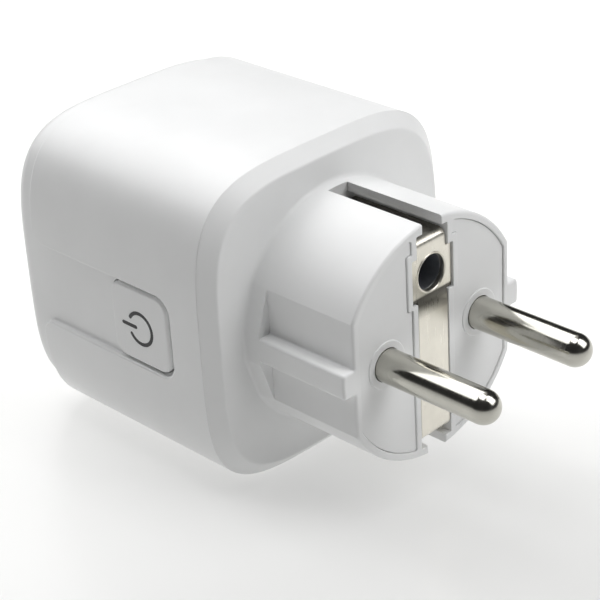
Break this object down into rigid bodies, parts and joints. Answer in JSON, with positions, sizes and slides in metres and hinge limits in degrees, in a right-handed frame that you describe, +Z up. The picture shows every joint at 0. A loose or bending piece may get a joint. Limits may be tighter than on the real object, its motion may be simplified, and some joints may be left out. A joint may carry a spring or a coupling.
{
  "type": "smart plug",
  "caption": "Wi-Fi smart plug: rounded square housing with a side power button, an earthed socket at the front and a round two-pin plug with earth strip at the back.",
  "frame": {"origin": "centre of the plug's engagement face, midway between the two pins", "axes": "+Y along the pins, away from the housing and into the wall; -Y towards the socket; +Z up, towards the French earth hole; +X towards the side with the button"},
  "size_m": [0.0482, 0.0815, 0.0482],
  "materials": {
    "white_shell": "satin",
    "white_barrel": "satin",
    "white_insert": "satin",
    "white_button": "satin",
    "symbol_black": "matte",
    "nickel": "polished",
    "nickel_strip": "satin",
    "brass": "satin",
    "copper": "satin",
    "spring_steel": "satin",
    "screw_steel": "satin",
    "black_plastic": "matte",
    "board_green": "satin",
    "board_blue": "satin",
    "relay_blue": "satin",
    "shield_tin": "satin",
    "ferrite": "matte",
    "can_sleeve": "gloss",
    "fuse_green": "matte",
    "varistor_blue": "satin",
    "film_yellow": "satin",
    "led_clear": "gloss"
  },
  "bodies": {
    "plug_body": {"housing_shell": "white_shell", "socket_well": "white_shell", "socket_earth_bracket": "nickel_strip", "shutter_retainer": "white_insert", "contact_block": "black_plastic", "live_socket_contact": "brass", "neutral_socket_contact": "brass", "rear_cover": "white_barrel", "pin_carrier": "white_insert", "line_pin": "nickel", "neutral_pin": "nickel", "plug_earth_strip": "nickel_strip", "earth_pin_sleeve": "brass", "earth_link": "brass", "line_busbar": "copper", "neutral_busbar": "copper", "main_board": "board_green", "relay": "relay_blue", "wifi_board": "board_blue", "wifi_shield": "shield_tin", "power_inductor": "ferrite", "bulk_capacitors": "can_sleeve", "fuse_resistor": "fuse_green", "varistor": "varistor_blue", "x_capacitor": "film_yellow", "metering_chip": "black_plastic", "bridge_rectifier": "black_plastic", "current_shunt": "copper", "button_board": "board_green", "tact_switch": "black_plastic", "status_led": "led_clear", "board_header": "black_plastic", "centre_screw": "screw_steel", "board_screws": "screw_steel"},
    "button_body": {"button": "white_button", "power_symbol": "symbol_black", "tact_plunger": "black_plastic"},
    "shutter_body": {"shutter": "white_insert", "shutter_spring": "spring_steel"}
  },
  "joints": [
    {"name": "button_press", "type": "slide", "parent": "plug_body", "child": "button_body", "axis": [-1, 0, 0], "range_m": [0, 0.0004], "stiffness_N_per_m": 4000, "springref_m": -0.0001},
    {"name": "shutter_turn", "type": "hinge", "parent": "plug_body", "child": "shutter_body", "pos_m": [0, -0.0408, 0], "axis": [0, 1, 0], "range_deg": [0, 36], "stiffness_Nm_per_rad": 0.01, "springref_deg": -20.05}
  ]
}
